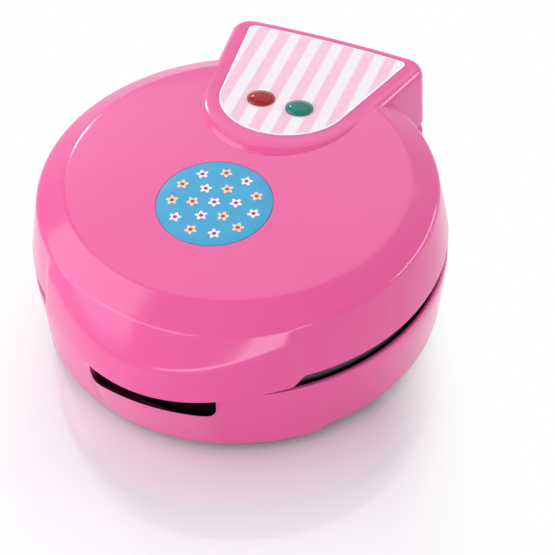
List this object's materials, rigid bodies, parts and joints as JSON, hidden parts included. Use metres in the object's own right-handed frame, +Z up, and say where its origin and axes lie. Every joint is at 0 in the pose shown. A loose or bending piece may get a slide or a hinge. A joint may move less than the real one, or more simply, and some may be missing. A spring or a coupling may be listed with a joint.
{
  "type": "cupcake maker",
  "caption": "Round hinged cupcake maker: two pink shells with cup-shaped baking plates, a grip lip at the front and a panel with indicator lamps at the rear.",
  "frame": {"origin": "on the table under the middle of the object's outline", "axes": "+Z up, -Y towards the front with the grip lip, +Y towards the hinge and the panel, +X to the user's right"},
  "size_m": [0.2158, 0.2452, 0.0966],
  "materials": {
    "pink_plastic": "glossy moulded bright pink",
    "black_plastic": "fine matt moulding",
    "non_stick_coating": "satin black non-stick coating on cast aluminium",
    "bright_steel": "zinc plated",
    "element_sheath": "dull tube with heat tint",
    "reflector_sheet": "rolled sheet",
    "grey_rubber": "matt",
    "striped_film": "pale pink and white striped film, semi-gloss",
    "blue_print": "blue print with small motifs, semi-gloss",
    "red_lens": "clear tinted, polished",
    "green_lens": "clear tinted, polished",
    "lamp_glass": "clear",
    "white_ceramic": "smooth, matt",
    "lead_insulation": "woven sleeve, off-white"
  },
  "bodies": {
    "base": {"base_housing": "pink_plastic", "base_lead_left": "lead_insulation", "base_lead_right": "lead_insulation", "bottom_cover": "black_plastic", "cord_gland": "black_plastic", "cover_screw_1": "bright_steel", "cover_screw_2": "bright_steel", "cover_screw_3": "bright_steel", "cover_screw_4": "bright_steel", "foot_front_left": "grey_rubber", "foot_front_right": "grey_rubber", "foot_rear_left": "grey_rubber", "foot_rear_right": "grey_rubber", "hinge_shaft": "bright_steel", "lower_baking_plate": "non_stick_coating", "lower_element_strap_1": "bright_steel", "lower_element_strap_2": "bright_steel", "lower_element_strap_3": "bright_steel", "lower_element_strap_4": "bright_steel", "lower_heating_element": "element_sheath", "lower_plate_screw_1": "bright_steel", "lower_plate_screw_2": "bright_steel", "lower_plate_screw_3": "bright_steel", "lower_plate_screw_4": "bright_steel", "lower_reflector": "reflector_sheet", "terminal_block": "white_ceramic", "thermal_fuse": "white_ceramic", "thermostat": "white_ceramic"},
    "lid": {"lens_clip_1": "bright_steel", "lens_clip_2": "bright_steel", "lid_housing": "pink_plastic", "neon_lamp_1": "lamp_glass", "neon_lamp_2": "lamp_glass", "panel_label": "striped_film", "power_lens": "red_lens", "ready_lens": "green_lens", "round_badge": "blue_print", "upper_baking_plate": "non_stick_coating", "upper_element_strap_1": "bright_steel", "upper_element_strap_2": "bright_steel", "upper_element_strap_3": "bright_steel", "upper_element_strap_4": "bright_steel", "upper_heating_element": "element_sheath", "upper_plate_screw_1": "bright_steel", "upper_plate_screw_2": "bright_steel", "upper_plate_screw_3": "bright_steel", "upper_plate_screw_4": "bright_steel", "upper_reflector": "reflector_sheet"}
  },
  "joints": [
    {"name": "lid_hinge", "type": "hinge", "parent": "base", "child": "lid", "pos_m": [0, 0.1176, 0.04775], "axis": [-1, 0, 0], "range_deg": [0, 95]}
  ]
}
